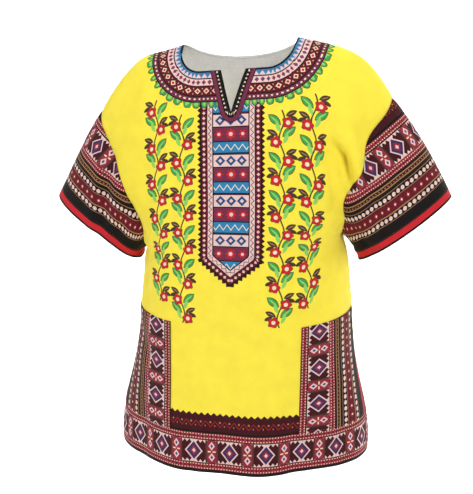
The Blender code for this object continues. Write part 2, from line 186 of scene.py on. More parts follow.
# Finer creases, pressed in along the cloth's own normal once it has its form
fineCreases = (
    (0.160, -0.158, 0.182, -0.192, 0.0070, 0.0085, -1),
    (0.177, -0.178, 0.190, -0.230, 0.0058, 0.0135, -1),
    (0.156, -0.170, 0.176, -0.244, 0.0130, 0.0060, -1),
    (0.190, -0.150, 0.203, -0.216, 0.0090, -0.0065, -1),
    (0.128, -0.200, 0.150, -0.300, 0.0110, -0.0030, -1),
    (0.168, -0.110, 0.186, -0.160, 0.0120, 0.0026, -1),
    (0.206, -0.120, 0.200, -0.170, 0.0070, 0.0025, -1),
    (0.170, -0.338, 0.108, -0.378, 0.0100, 0.0028, -1),
    (0.176, -0.352, 0.140, -0.440, 0.0130, 0.0032, -1),
    (0.062, -0.420, 0.074, -0.630, 0.0260, 0.0018, -1),
    (0.104, -0.640, 0.110, -0.740, 0.0120, 0.0022, -1),
    (0.186, -0.600, 0.198, -0.730, 0.0140, 0.0026, -1),
    (-0.020, -0.400, -0.036, -0.620, 0.0300, 0.0018, -1),
    (-0.066, -0.660, -0.070, -0.740, 0.0110, 0.0020, -1),
    (-0.165, -0.338, -0.112, -0.372, 0.0100, 0.0026, -1),
    (-0.172, -0.362, -0.152, -0.465, 0.0110, 0.0030, -1),
    (-0.190, -0.490, -0.148, -0.552, 0.0140, 0.0030, -1),
    (-0.165, -0.640, -0.172, -0.740, 0.0130, 0.0026, -1),
    (-0.132, -0.110, -0.162, -0.240, 0.0150, 0.0022, -1),
    (-0.222, -0.200, -0.250, -0.340, 0.0110, 0.0060, -1),
    (-0.238, -0.195, -0.268, -0.325, 0.0110, -0.0030, -1),
    (-0.192, -0.285, -0.224, -0.350, 0.0090, 0.0034, -1),
    (0.216, -0.225, 0.246, -0.318, 0.0110, 0.0042, -1),
    (0.252, -0.170, 0.280, -0.255, 0.0130, 0.0022, -1),
    (0.188, -0.310, 0.226, -0.352, 0.0085, 0.0036, -1),
    (0.152, -0.190, 0.180, -0.300, 0.0120, 0.0045, 1),
    (-0.150, -0.200, -0.178, -0.305, 0.0130, 0.0040, 1),
    (0.168, -0.338, 0.095, -0.392, 0.0120, 0.0038, 1),
    (-0.165, -0.340, -0.088, -0.405, 0.0130, 0.0040, 1),
    (0.018, -0.150, 0.026, -0.310, 0.0200, 0.0020, 1),
    (-0.110, -0.110, -0.040, -0.160, 0.0150, 0.0020, 1),
    (0.228, -0.215, 0.256, -0.320, 0.0110, 0.0045, 1),
    (-0.226, -0.220, -0.252, -0.335, 0.0110, 0.0040, 1),
    (0.150, -0.560, 0.160, -0.730, 0.0160, 0.0035, 1),
    (-0.140, -0.540, -0.150, -0.720, 0.0170, 0.0035, 1),
)
creaseForm = {
    "taperFrom": 0.08,  # the stretch of a half wave that a crease's depth follows, and its power
    "taperSpan": 0.84,
    "taperPower": 0.6,
    "faceFade": 0.05,   # how far from the sides a crease of one face is full
}


def columnsOf(names, rows):
    # The table's rows as one array for each named column
    return dict(zip(names, np.array(rows, float).T))


bodyTable = columnsOf(sectionColumns, sections)
climbTable = np.concatenate(
    [[0.0], np.cumsum(np.hypot(np.diff(bodyTable["frontReach"]), np.diff(bodyTable["frontZ"])))]
)
armpitClimb, topClimb = climbTable[bodyForm["armpitRow"]], climbTable[-1]


def smoothLine(at, knots, values):
    # Cubic pieces through the values, with each knot's slope taken from its neighbours
    knots, values = np.asarray(knots, float), np.asarray(values, float)
    step = np.diff(knots)
    rise = np.diff(values) / step
    slope = np.empty_like(values)
    slope[1:-1] = (rise[:-1] * step[1:] + rise[1:] * step[:-1]) / (step[:-1] + step[1:])
    slope[0] = 1.5 * rise[0] - 0.5 * slope[1]
    slope[-1] = 1.5 * rise[-1] - 0.5 * slope[-2]
    at = np.clip(at, knots[0], knots[-1])
    i = np.clip(np.searchsorted(knots, at, side="right") - 1, 0, len(step) - 1)
    s = (at - knots[i]) / step[i]
    return (
        values[i] * (1 + 2 * s) * (1 - s) ** 2
        + slope[i] * step[i] * s * (1 - s) ** 2
        + values[i + 1] * s * s * (3 - 2 * s)
        + slope[i + 1] * step[i] * s * s * (s - 1)
    )


def rampBetween(x, low, high):
    # 0 below low, 1 above high, and an even rise between them
    s = np.clip((x - low) / (high - low), 0, 1)
    return s * s * (3 - 2 * s)


def unitOf(v):
    return v / np.maximum(np.linalg.norm(v, axis=-1, keepdims=True), 1e-12)


def lengthsAlong(points, axis):
    # Running length of a grid's lines along one of its axes
    steps = np.linalg.norm(np.diff(points, axis=axis), axis=-1)
    return np.concatenate([np.zeros_like(np.take(steps, [0], axis)), np.cumsum(steps, axis)], axis)


def bodyPoint(u, climb, face):
    # u runs from -1 to 1 across the panel and climb up it. x follows the sine of the angle turned, y leaves
    # the middle as one less its cosine, and z goes from the middle's height to the side's.
    u, climb = np.broadcast_arrays(np.asarray(u, float), np.asarray(climb, float))
    at = {name: smoothLine(climb, climbTable, bodyTable[name]) for name in sectionColumns}
    reach, height = ("frontReach", "frontZ") if face < 0 else ("backReach", "backZ")
    below = climb <= armpitClimb
    turn = np.radians(np.where(below, 90.0, at["turn"]))
    sideReach = np.where(below, 0.0, at["sideReach"])
    angle = np.abs(u) * turn
    away = ((1 - np.cos(angle)) / (1 - np.cos(turn))) ** at["full"]
    bend = 2 + (bodyForm["shoulderBend"] - 2) * rampBetween(climb, armpitClimb, topClimb)
    x = np.sign(u) * at["sideX"] * np.sin(angle) / np.sin(turn)
    y = face * (at[reach] + (sideReach - at[reach]) * away)
    z = at[height] + (at["sideZ"] - at[height]) * np.abs(u) ** bend
    return np.stack([x, y, z], -1)


def ridgeColumn(x):
    # The column whose top is at x on the shoulder ridge
    turn = math.radians(bodyTable["turn"][-1])
    return np.arcsin(np.asarray(x, float) * math.sin(turn) / bodyTable["sideX"][-1]) / turn


def neckHeight(x, face):
    # Height of the neckline at x: half an ellipse behind, and a flat with a slit in front
    x = np.abs(x)
    if face > 0:
        return neckForm["backDrop"] * np.sqrt(np.clip(1 - (x / neckForm["half"]) ** 2, 0, 1))
    corner = np.clip(x - neckForm["flat"], 0, None) / (neckForm["half"] - neckForm["flat"])
    slit = np.clip(1 - x / neckForm["slitHalf"], 0, 1)
    level = neckForm["drop"] * np.sqrt(np.clip(1 - corner**2, 0, 1))
    return level + (neckForm["slitFoot"] - neckForm["drop"]) * slit


def neckClimb(u, face):
    # How far up each column goes: to the neckline near the middle, and to the ridge elsewhere
    low, high = np.full(u.shape, armpitClimb), np.full(u.shape, topClimb)
    for _ in range(40):
        middle = (low + high) / 2
        point = bodyPoint(u, middle, face)
        over = point[..., 2] > neckHeight(point[..., 0], face)
        low, high = np.where(over, low, middle), np.where(over, middle, high)
    return np.where(np.abs(u) > ridgeColumn(neckForm["half"]) - 1e-9, topClimb, low)


def sleeveTube(loop, cuff, v):
    # Tube from the armhole's loop (v 0) to the cuff (v 1), along cubics that leave it the way outset says
    closed = np.concatenate([loop, loop[:1]])
    way = lengthsAlong(closed, 0)
    way = way[:-1] / way[-1]
    half = np.minimum(way, 1 - way)
    leave = np.stack([smoothLine(half, outset["round"], outset[axis]) for axis in "xyz"], -1)
    leave[:, 1] *= np.where(way <= 0.5, 1, -1)
    leave, arrive = unitOf(leave), unitOf(np.array(sleeveForm["cuffWay"]))
    turn = 2 * math.pi * way[:, None]
    out, deep = np.array(sleeveForm["cuffOut"]), np.array((0, -sleeveForm["cuffDeep"], 0))
    end = np.array(cuff) + out * np.cos(turn) + deep * np.sin(turn)
    span = np.linalg.norm(end - loop, axis=1)[:, None]
    v = np.asarray(v, float)[:, None, None]
    return (
        loop * (2 * v**3 - 3 * v**2 + 1)
        + leave * span * (v**3 - 2 * v**2 + v)
        + end * (3 * v**2 - 2 * v**3)
        + arrive * span * (v**3 - v**2)
    )


def creaseDepth(points, rows):
    # How deep the creases of a table lie at each point: bell-shaped across, and tapered towards their ends
    x, y, z = points[..., 0], points[..., 1], points[..., 2]
    crease = columnsOf(creaseColumns, rows)
    deep = np.zeros_like(x)
    for i in range(len(rows)):
        startX, startZ = crease["fromX"][i], crease["fromZ"][i]
        runX, runZ = crease["toX"][i] - startX, crease["toZ"][i] - startZ
        along = np.clip(((x - startX) * runX + (z - startZ) * runZ) / (runX**2 + runZ**2), 0, 1)
        gap = np.hypot(x - startX - along * runX, z - startZ - along * runZ)
        arch = np.sin(math.pi * (creaseForm["taperFrom"] + creaseForm["taperSpan"] * along))
        taper = arch ** creaseForm["taperPower"]
        side = rampBetween(crease["face"][i] * y, 0.0, creaseForm["faceFade"])
        deep = deep + crease["deep"][i] * taper * side * np.exp(-((gap / crease["wide"][i]) ** 2))
    return deep


def settleCloth(points):
    # Creases, waves and lean, from each point's own place, so that both sides of a seam move alike
    x, y, z = points[..., 0], points[..., 1], points[..., 2]
    inward = unitOf(np.stack([-x, -2.0 * y, 0 * z], -1))
    deep = creaseDepth(points, creases)
    wave = np.sin(bodyForm["fluteCount"] * np.arctan2(y, x) + bodyForm["fluteStart"])
    flute = bodyForm["fluteDeep"] * (1 - rampBetween(z, *bodyForm["fluteZ"])) * wave
    moved = points + inward * (deep + flute)[..., None]
    shift = columnsOf(shiftColumns, shifts)
    for i in range(len(shifts)):
        gap = np.hypot(x - shift["atX"][i], z - shift["atZ"][i]) / shift["reach"][i]
        side = rampBetween(shift["face"][i] * y, 0.0, creaseForm["faceFade"]) if shift["face"][i] else 1.0
        moved[..., 0] += shift["moveX"][i] * side * np.exp(-(gap**2))
        moved[..., 2] += shift["moveZ"][i] * side * np.exp(-(gap**2))
    near = rampBetween(z, *bodyForm["neckZ"]) * (1 - rampBetween(np.abs(x), *bodyForm["neckX"]))
    rise = bodyForm["shoulderLean"] - bodyForm["hemLean"]
    lean = bodyForm["hemLean"] + rise * rampBetween(z, *bodyForm["leanZ"]) + bodyForm["neckLean"] * near
    moved[..., 0] += bodyForm["neckShift"] * near
    moved[..., 2] += lean * x
    return moved


def stepsBetween(marks, step):
    # Even steps of about that length between each two marks, which are kept
    parts = [np.linspace(a, b, max(1, round((b - a) / step)) + 1)[:-1] for a, b in zip(marks, marks[1:])]
    return np.concatenate(parts + [[marks[-1]]])


def gridFaces(rows, width, wrap=False, outward=True):
    # Quads of a grid that is stored row by row
    i, j = np.meshgrid(np.arange(rows - 1), np.arange(width if wrap else width - 1), indexing="ij")
    a, b = (i * width + j).ravel(), (i * width + (j + 1) % width).ravel()
    quads = np.stack([a, b, b + width, a + width], -1)
    return quads if outward else quads[:, ::-1]


def sharedNormals(skins):
    # A point's normal is the sum of its quads' areas, over all the pieces that meet there
    everyPoint = np.concatenate([points for points, _ in skins])
    total, start = np.zeros_like(everyPoint), 0
    for points, quads in skins:
        corner = points[quads]
        area = np.cross(corner[:, 2] - corner[:, 0], corner[:, 3] - corner[:, 1])
        for k in range(4):
            np.add.at(total, start + quads[:, k], area)
        start += len(points)
    _, index = np.unique(np.round(everyPoint * 1e6).astype(np.int64), axis=0, return_inverse=True)
    index = index.reshape(-1)
    joined = np.zeros((index.max() + 1, 3))
    np.add.at(joined, index, total)
    normals = unitOf(joined)[index]
    ends = np.cumsum([len(points) for points, _ in skins])[:-1]
    return np.split(normals, ends)


def nearestOn(points, line):
    # Distance from each point to a line of points, and how far along that line it is nearest
    gap, along, start = np.full(points.shape[:-1], np.inf), np.zeros(points.shape[:-1]), 0.0
    for a, b in zip(line, line[1:]):
        way = b - a
        length = np.linalg.norm(way)
        share = np.clip(((points - a) @ way) / length**2, 0, 1)
        here = np.linalg.norm(points - a - share[..., None] * way, axis=-1)
        along = np.where(here < gap, start + share * length, along)
        gap = np.minimum(gap, here)
        start += length
    return gap, along


def cornerMap(grid, outward):
    # A map's value at the four corners of each quad, in the quads' own order
    corners = np.stack([grid[:-1, :-1], grid[:-1, 1:], grid[1:, 1:], grid[1:, :-1]], -2)
    corners = corners.reshape(-1, 4, 2)
    return corners if outward else corners[:, ::-1]


hemForm = {    # how deep each turned edge is
    "body": 0.018,
    "cuff": 0.016,
    "neck": 0.006,
}
pocketForm = {
    "edge": {"left": 0.1102, "right": neckForm["half"]},    # where each inner edge's line meets the ridge
    "rows": (3, 11),        # its foot and its mouth, in sixteenths of the way from the hem to the armpit
    "edgeLift": 0.0012,     # of its outer skin above the front, where it is sewn down
    "belly": 0.0008,        # how much more it stands out in its middle
    "round": 0.006,
    "stitch": 0.004,
    "hem": 0.015,           # of its mouth
    "borderFrom": 0.164,    # where its inner edge lies in the printed border, from the border's own edge
}

# Columns and rows that the front and the back share, with the neckline's and the pockets' corners kept
edgeMarks = [0.0, neckForm["slitHalf"], neckForm["flat"], neckForm["half"], pocketForm["edge"]["left"]]
columnMarks = ridgeColumn(edgeMarks).tolist() + [1.0]
halfColumns = stepsBetween(columnMarks, clothSetup["step"] / clothSetup["panelHalf"])
acrossColumns = np.concatenate([-halfColumns[:0:-1], halfColumns])
pocketMarks = [armpitClimb * at / 16 for at in pocketForm["rows"]]
skirtRows = stepsBetween([0.0, hemForm["body"], *pocketMarks, armpitClimb], clothSetup["step"])
chestRows = stepsBetween([armpitClimb, topClimb], clothSetup["step"])
climbRows = np.concatenate([skirtRows, chestRows[1:]])


def panelPlace(u, climb, face):
    # Place in the flat cut: p along the level line from the middle, q up the middle from the hem
    share = np.linspace(0, 1, 25)
    line = bodyPoint(u[..., None] * share, climb[..., None], face)
    p = np.sign(u) * np.linalg.norm(np.diff(line, axis=-2), axis=-1).sum(-1)
    return np.stack([p, climb], -1)


def uprightColumns(u, climb):
    # The front's columns are drawn in below the pockets' mouths, so that the pockets' inner edges stand
    # upright: x is sideX times the sine of u quarter turns, so the sine shrinks as sideX grows
    mouth = pocketMarks[1]
    sideX = smoothLine(np.minimum(climb, mouth), climbTable, bodyTable["sideX"])
    flare = smoothLine(mouth, climbTable, bodyTable["sideX"]) / sideX
    moved = np.zeros(u.shape)
    for side, mirror in (("left", 1), ("right", -1)):
        edge, at = ridgeColumn(pocketForm["edge"][side]), np.clip(mirror * u, 0, None)
        kept = np.arcsin(np.sin(edge * math.pi / 2) * flare) / (math.pi / 2)
        moved += mirror * np.where(at <= edge, at * kept / edge, kept + (at - edge) * (1 - kept) / (1 - edge))
    return moved


def panelGrid(face):
    top = neckClimb(acrossColumns, face)
    rise = np.clip(climbRows - armpitClimb, 0, None)[:, None] * (top - armpitClimb) / (topClimb - armpitClimb)
    climb = np.minimum(climbRows, armpitClimb)[:, None] + rise
    u = np.broadcast_to(acrossColumns, climb.shape)
    u = uprightColumns(u, climb) if face < 0 else u
    return settleCloth(bodyPoint(u, climb, face)), panelPlace(u, climb, face)


def sleeveGrid(side):
    # The tube starts and ends at its seam under the arm. Its place in the cut is how far round it is from
    # the top, and how far from the cuff.
    mirror = 1 if side == "left" else -1
    front, back = bodyPoint(1.0, chestRows[::-1], -1), bodyPoint(1.0, chestRows, 1)
    loop = np.concatenate([front, back[1:-1]])
    rows = stepsBetween([0.0, 1.0], clothSetup["step"] / clothSetup["sleeveLong"])
    tube = sleeveTube(loop, sleeveForm["cuffs"][side], rows) * (mirror, 1, 1)
    tube = np.roll(settleCloth(tube), -(len(front) - 1), axis=1)
    closed = np.concatenate([tube, tube[:, :1]], axis=1)
    around, down = lengthsAlong(closed, 1), lengthsAlong(closed, 0)
    around = around - around[:, len(back) - 1 : len(back)]
    # The print runs up towards the seam low down on the armhole's front, where the cloth is drawn up
    drawn = sleevePull["high"] * np.exp(-down / sleevePull["long"])
    drawn = drawn * rampBetween(around, *sleevePull["around"])
    return tube, np.stack([around, down[-1:] - down - drawn], -1)


grids = {"front": panelGrid(-1), "back": panelGrid(1)}
grids.update({"sleeve_" + side: sleeveGrid(side) for side in ("left", "right")})
facesOut = {"front": True, "back": False, "sleeve_left": True, "sleeve_right": False}
quads = {}
for name, (points, _) in grids.items():
    quads[name] = gridFaces(*points.shape[:2], wrap="sleeve" in name, outward=facesOut[name])
normals = sharedNormals([(points.reshape(-1, 3), quads[name]) for name, (points, _) in grids.items()])
normals = {name: n.reshape(grids[name][0].shape) for name, n in zip(grids, normals)}
print("grids worked out:", {name: points.shape[:2] for name, (points, _) in grids.items()})

# Lines where the pieces are sewn together, and the neckline's two halves
frontPoints = grids["front"][0]
skirtCount = len(skirtRows)
ridgeFrom = int(np.argmin(np.abs(acrossColumns - ridgeColumn(neckForm["half"]))))
ridgeTo = len(acrossColumns) - 1 - ridgeFrom
armholes = {}
for side in ("left", "right"):
    ring = grids["sleeve_" + side][0][0]
    armholes[side] = np.concatenate([ring, ring[:1]])
bodySeams = [frontPoints[:skirtCount, 0], frontPoints[:skirtCount, -1], armholes["left"], armholes["right"],
             frontPoints[-1, : ridgeTo + 1], frontPoints[-1, ridgeFrom:]]
seams = {
    "front": bodySeams,
    "back": bodySeams,
    "sleeve_left": [armholes["left"], grids["sleeve_left"][0][:, 0]],
    "sleeve_right": [armholes["right"], grids["sleeve_right"][0][:, 0]],
}
necklines = {name: grids[name][0][-1, ridgeTo : ridgeFrom + 1] for name in ("front", "back")}
atSlit = np.abs(acrossColumns[ridgeTo : ridgeFrom + 1]) < ridgeColumn(neckForm["slitHalf"]) - 1e-9
neckNormals = {name: normals[name][-1, ridgeTo : ridgeFrom + 1] for name in necklines}
ringLines = {"front": necklines["front"][~atSlit], "back": necklines["back"]}    # straight across the slit
slitLine = frontPoints[-1, np.abs(acrossColumns) < ridgeColumn(neckForm["slitHalf"]) + 1e-9]


def movedIn(name, line, normal, far):
    # Part of a neckline moved into the cloth, square to its own way
    inward = np.cross(unitOf(np.gradient(line, axis=0)), normal)
    return line + inward * far * (1 if name == "front" else -1)


# Lengths round the rings are measured in their middle, so that their repeats are stretched least
toMiddle = 0.030
ringMiddles = {
    "front": movedIn("front", ringLines["front"], neckNormals["front"][~atSlit], toMiddle),
    "back": movedIn("back", ringLines["back"], neckNormals["back"], toMiddle),
}


def sewnForm(name):
    # Sinks the cloth at its seams, ripples it beside them and presses in the finer creases
    points, normal = grids[name][0], normals[name]
    gap, along = np.full(points.shape[:2], np.inf), np.zeros(points.shape[:2])
    for line in seams[name]:
        here, run = nearestOn(points, line)
        along, gap = np.where(here < gap, run, along), np.minimum(gap, here)
    sink = clothSetup["seamSink"] * np.exp(-((gap / clothSetup["seamWide"]) ** 2))
    beside = gap / clothSetup["puckerWide"]
    drift, often = clothSetup["puckerDrift"]
    ripple = np.sin(2 * math.pi * along / clothSetup["puckerLong"] + drift * np.sin(along * often))
    fade, often, start = clothSetup["puckerFade"]
    uneven = 1 - fade + fade * np.sin(along * often + start)
    pucker = clothSetup["puckerHigh"] * beside * np.exp(1 - beside) * ripple * uneven
    crease = clothSetup["creaseGain"] * creaseDepth(points, fineCreases)
    return points + normal * (pucker - sink - crease)[..., None]


skins = {name: sewnForm(name) for name in grids}
print("seams sunk")


def pocketSkin(side):
    # The front's own points between four of its lines, moved out, and pressed down along the edges
    inner = float(ridgeColumn(pocketForm["edge"][side]))
    lines = (inner, 1.0) if side == "left" else (-1.0, -inner)
    first, last = (int(np.argmin(np.abs(acrossColumns - at))) for at in lines)
    low, high = (int(np.argmin(np.abs(climbRows - at))) for at in pocketMarks)
    part = (slice(low, high + 1), slice(first, last + 1))
    skin, normal, place = skins["front"][part], normals["front"][part], grids["front"][1][part]
    across, up = lengthsAlong(skin, 1), lengthsAlong(skin, 0)
    sides = np.minimum(across, across[:, -1:] - across)
    edge = np.minimum(sides, np.minimum(up, up[-1:] - up))
    lift = pocketForm["edgeLift"] + pocketForm["belly"] * (1 - np.exp(-edge / pocketForm["round"]))
    # The border runs upright beside the inner edge, and is met again, turned round, past its own edge
    fromInner = across if side == "left" else across[:, -1:] - across
    border = np.abs(pocketForm["borderFrom"] - fromInner)
    fold = np.minimum(np.minimum(sides, up) - pocketForm["stitch"], up[-1:] - up - pocketForm["hem"])
    return skin + normal * lift[..., None], np.stack([border, place[..., 1]], -1), fold, normal


# The chest panel of the print, inside its own border
panelForm = {
    "half": 52,         # half its width, in mm
    "foot": 340,        # its tip, from the hem
    "slope": 0.8,       # of the edges that lead to the tip
    "reach": 120,
    "bands": ((0, "black"), (2, "maroon"), (11, "black"), (12.5, "pink"), (20.5, "black"), (22.5, "plum")),
    "tier": 66,         # height of one set of tiers
}


def panelOutline(p, q):
    # Distance outside the chest panel (below zero inside it), and how far round its edge from the tip
    half, foot, slope = panelForm["half"] * mm, panelForm["foot"] * mm, panelForm["slope"]
    shoulder = foot + half * slope
    outline = np.array([(0.0, foot), (half, shoulder), (half, 0.9)])
    gap, along = nearestOn(np.stack([np.abs(p), q], -1), outline)
    width = np.minimum(half, (q - foot) / slope)
    return np.stack([along, np.where(np.abs(p) < width, -gap, gap)], -1)


cloths = {}
for name, (points, place) in grids.items():
    cloths[name] = {"points": skins[name], "maps": {"cut": place}, "quads": quads[name]}
    if name in necklines:
        neckMaps = {"ring": (ringLines[name], ringMiddles[name]), "slit": (slitLine, slitLine)}
        for mapName, (edge, line) in neckMaps.items():
            gap, along = nearestOn(skins[name], edge)[0], nearestOn(skins[name], line)[1]
            fromMiddle = np.abs(along - lengthsAlong(line, 0)[-1] / 2)
            cloths[name]["maps"][mapName] = np.stack([fromMiddle, gap], -1)
        cloths[name]["maps"]["panel"] = panelOutline(place[..., 0], place[..., 1])
        gap = nearestOn(skins[name], necklines[name])[0]
        cloths[name]["fold"] = np.minimum(place[..., 1] - hemForm["body"], gap - hemForm["neck"])
    else:
        cloths[name]["fold"] = place[:, :-1, 1] - hemForm["cuff"]
pocketNormals = {}
for side in ("left", "right"):
    points, place, fold, pocketNormals[side] = pocketSkin(side)
    cloths["pocket_" + side] = {
        "points": points, "maps": {"cut": place}, "fold": fold, "quads": gridFaces(*points.shape[:2]),
    }


def makeCloth(name, cloth):
    mesh = bpy.data.meshes.new(name)
    mesh.from_pydata(cloth["points"].reshape(-1, 3).tolist(), [], cloth["quads"].tolist())
    for mapName, grid in cloth["maps"].items():
        layer = mesh.uv_layers.new(name=mapName)
        layer.data.foreach_set("uv", cornerMap(grid, facesOut.get(name, True)).ravel().astype(np.float32))
    fold = mesh.attributes.new("fold", "FLOAT", "POINT")
    fold.data.foreach_set("value", cloth["fold"].ravel().astype(np.float32))
    mesh.shade_smooth()
    piece = addObject(name + "_cloth", mesh)
    shell = piece.modifiers.new("cloth", "SOLIDIFY")
    shell.thickness = clothSetup["thick"]
    shell.offset = -1
    shell.use_even_offset = True
    shell.material_offset = 1
    return piece


pieces = {name: makeCloth(name, cloth) for name, cloth in cloths.items()}
print("cloth made")

# Colours of the print, in sRGB
inks = {
    "yellow": "#F8E344",
    "black": "#100B0A",
    "maroon": "#611220",
    "deepMaroon": "#3E0A13",
    "plum": "#702A45",
    "crimson": "#93293A",
    "red": "#C4242B",
    "blue": "#2F7FAE",
    "deepBlue": "#1D4A7C",
    "pink": "#E4C2BC",
    "cream": "#EADAB8",
    "tan": "#A67C50",
    "green": "#3D9E4D",
    "lightGreen": "#8FCB5F",
    "leafBrown": "#463329",
    "purple": "#3E2A55",
}


def linearColour(text):
    # sRGB hex to linear, as the shader wants it
    parts = [int(text[i : i + 2], 16) / 255 for i in (1, 3, 5)]
    return [c / 12.92 if c <= 0.04045 else ((c + 0.055) / 1.055) ** 2.4 for c in parts] + [1.0]


ink = {name: linearColour(text) for name, text in inks.items()}


def addNode(tree, kind, settings, inputs, output=0):
    # Adds a node, sets it up, and links or fills its inputs. Gives back one of its outputs.
    node = tree.nodes.new("ShaderNode" + kind)
    for name, value in settings.items():
        setattr(node, name, value)
    for key, value in inputs.items():
        if isinstance(value, bpy.types.NodeSocket):
            tree.links.new(value, node.inputs[key])
        else:
            node.inputs[key].default_value = value
    return node.outputs[output]


def paintWhere(tree, mask, ground, colour):
    return addNode(tree, "Mix", {"data_type": "RGBA"}, {0: mask, 6: ground, 7: colour}, 2)


def calculate(tree, operation, *values):
    return addNode(tree, "Math", {"operation": operation}, dict(enumerate(values)))


def repeatPlace(tree, along, across, period, middle, shift=0.0):
    # One repeat of a row: x runs half a period either side of its middle, and y is zero on the row's line
    x = calculate(tree, "WRAP", calculate(tree, "ADD", along, shift * mm), period / 2 * mm, -period / 2 * mm)
    y = calculate(tree, "SUBTRACT", across, middle * mm)
    return addNode(tree, "CombineXYZ", {}, {0: x, 1: y})


def paintRow(tree, along, across, ground, period, middle, shapes, shift=0.0):
    return paintShapes(tree, repeatPlace(tree, along, across, period, middle, shift), ground, shapes)


def paintShapes(tree, place, ground, shapes):
    # Each row is one shape: its middle, turn, half length, half width and two powers, in mm and degrees, and
    # its colour. A point is inside where |x/a|^m + |y/b|^n < 1, so the powers 1, 1 give a lozenge, 2, 2 an
    # oval, 2, 1 a pointed leaf and 9, 9 a bar.
    for x, y, turn, halfLong, halfWide, powerX, powerY, colour in shapes:
        local = addNode(tree, "Mapping", {"vector_type": "TEXTURE"}, {
            0: place, 1: (x * mm, y * mm, 0), 2: (0, 0, math.radians(turn)),
            3: (halfLong * mm, halfWide * mm, 1),
        })
        size = addNode(tree, "VectorMath", {"operation": "ABSOLUTE"}, {0: local})
        size = addNode(tree, "VectorMath", {"operation": "POWER"}, {0: size, 1: (powerX, powerY, 1)})
        size = addNode(tree, "VectorMath", {"operation": "DOT_PRODUCT"}, {0: size, 1: (1, 1, 0)}, 1)
        ground = paintWhere(tree, calculate(tree, "LESS_THAN", size, 1.0), ground, ink[colour])
    return ground


def paintFlowers(tree, place, ground, flowers):
    # Each row is a round flower: middle, radius, petals, how deep they part, and its two colours. Its edge
    # swings between the radius and that depth within it, as the cosine of the angle times the petals.
    for x, y, radius, petals, parting, colour, heart in flowers:
        local = addNode(tree, "VectorMath", {"operation": "SUBTRACT"}, {0: place, 1: (x * mm, y * mm, 0)})
        length = addNode(tree, "VectorMath", {"operation": "LENGTH"}, {0: local}, 1)
        split = addNode(tree, "SeparateXYZ", {}, {0: local}).node
        angle = calculate(tree, "ARCTAN2", split.outputs[1], split.outputs[0])
        swing = calculate(tree, "COSINE", calculate(tree, "MULTIPLY", angle, float(petals)))
        edge = calculate(tree, "MULTIPLY_ADD", swing, parting * mm, (radius - parting) * mm)
        ground = paintWhere(tree, calculate(tree, "LESS_THAN", length, edge), ground, ink[colour])
        centre = calculate(tree, "LESS_THAN", length, radius * 0.36 * mm)
        ground = paintWhere(tree, centre, ground, ink[heart])
    return ground


def paintZigzag(tree, along, across, ground, period, middle, high, thick, colour):
    # A line that climbs and falls evenly by high, once in each period
    climb = calculate(tree, "PINGPONG", along, period / 2 * mm)
    level = calculate(tree, "MULTIPLY_ADD", climb, 2 * high / period, (middle - high / 2) * mm)
    gap = calculate(tree, "ABSOLUTE", calculate(tree, "SUBTRACT", across, level))
    return paintWhere(tree, calculate(tree, "LESS_THAN", gap, thick / 2 * mm), ground, ink[colour])


def paintTeeth(tree, along, across, ground, period, foot, high, colour):
    # Triangles on one side of a line: high above zero points them outwards, below zero inwards
    climb = calculate(tree, "PINGPONG", along, period / 2 * mm)
    rise = calculate(tree, "SUBTRACT", across, foot * mm)
    rise = calculate(tree, "MULTIPLY", rise, math.copysign(1.0, high))
    under = calculate(tree, "LESS_THAN", rise, calculate(tree, "MULTIPLY", climb, 2 * abs(high) / period))
    inside = calculate(tree, "MULTIPLY", under, calculate(tree, "GREATER_THAN", rise, 0.0))
    return paintWhere(tree, inside, ground, ink[colour])


def paintBands(tree, across, bands, reach):
    # Plain bands side by side: each row is where a band starts, in mm, and its colour
    node = addNode(tree, "ValToRGB", {}, {0: calculate(tree, "DIVIDE", across, reach * mm)}).node
    node.color_ramp.interpolation = "CONSTANT"
    steps = node.color_ramp.elements
    steps[1].position = bands[1][0] / reach
    for start, _ in bands[2:]:
        steps.new(start / reach)
    for step, (start, colour) in zip(steps, bands):
        step.position = start / reach
        step.color = ink[colour]
    return node.outputs[0]


def readMap(tree, name):
    # The two coordinates of one of the piece's own maps, in metres
    place = addNode(tree, "UVMap", {"uv_map": name}, {})
    split = addNode(tree, "SeparateXYZ", {}, {0: place}).node
    return split.outputs[0], split.outputs[1]


# The border along the hem, the cuffs and the pockets, in mm from its own edge: plain bands, rows of small
# repeats, one row of large blocks and crosses in turn, and a zigzag strip that ends in teeth
borderForm = {
    "period": 64,               # of the blocks
    "half": 21,                 # half their height
    "tooth": (8, 5.5),          # length and height of the teeth above and below them
    "zigzag": (17, 11, 1.3),    # length, height and thickness
    "endTooth": (11, 5),        # length and height
}
blockShapes = (
    (0, 0, 0, 16, 20.5, 1, 1, "pink"),
    (0, 0, 0, 13.2, 17, 1, 1, "purple"),
    (0, 0, 0, 7, 9, 1, 1, "crimson"),
    (0, 0, 0, 3.2, 4.2, 1, 1, "pink"),
    (22, 0, 0, 1.3, 21, 9, 9, "leafBrown"),
    (-22, 0, 0, 1.3, 21, 9, 9, "leafBrown"),
)
crossShapes = (
    (0, 0, 0, 8.6, 21, 9, 9, "crimson"),
    (0, 10.5, 0, 5.6, 8, 1, 1, "pink"),
    (0, -10.5, 0, 5.6, 8, 1, 1, "pink"),
    (0, 10.5, 0, 2.6, 3.8, 1, 1, "deepBlue"),
    (0, -10.5, 0, 2.6, 3.8, 1, 1, "deepBlue"),
    (0, 0, 0, 7, 1.2, 9, 9, "cream"),
    (0, 0, 0, 2.4, 2.4, 1, 1, "red"),
)


def dottedStrip(low, middle, high):
    # Two rows of dots, and small lozenges on the line between them
    dots = [(5, at, 1.1, 0.9, 2, 2, "cream") for at in (low, high)]
    return [*dots, (8, middle, 2.2, 1.5, 1, 1, "black")]


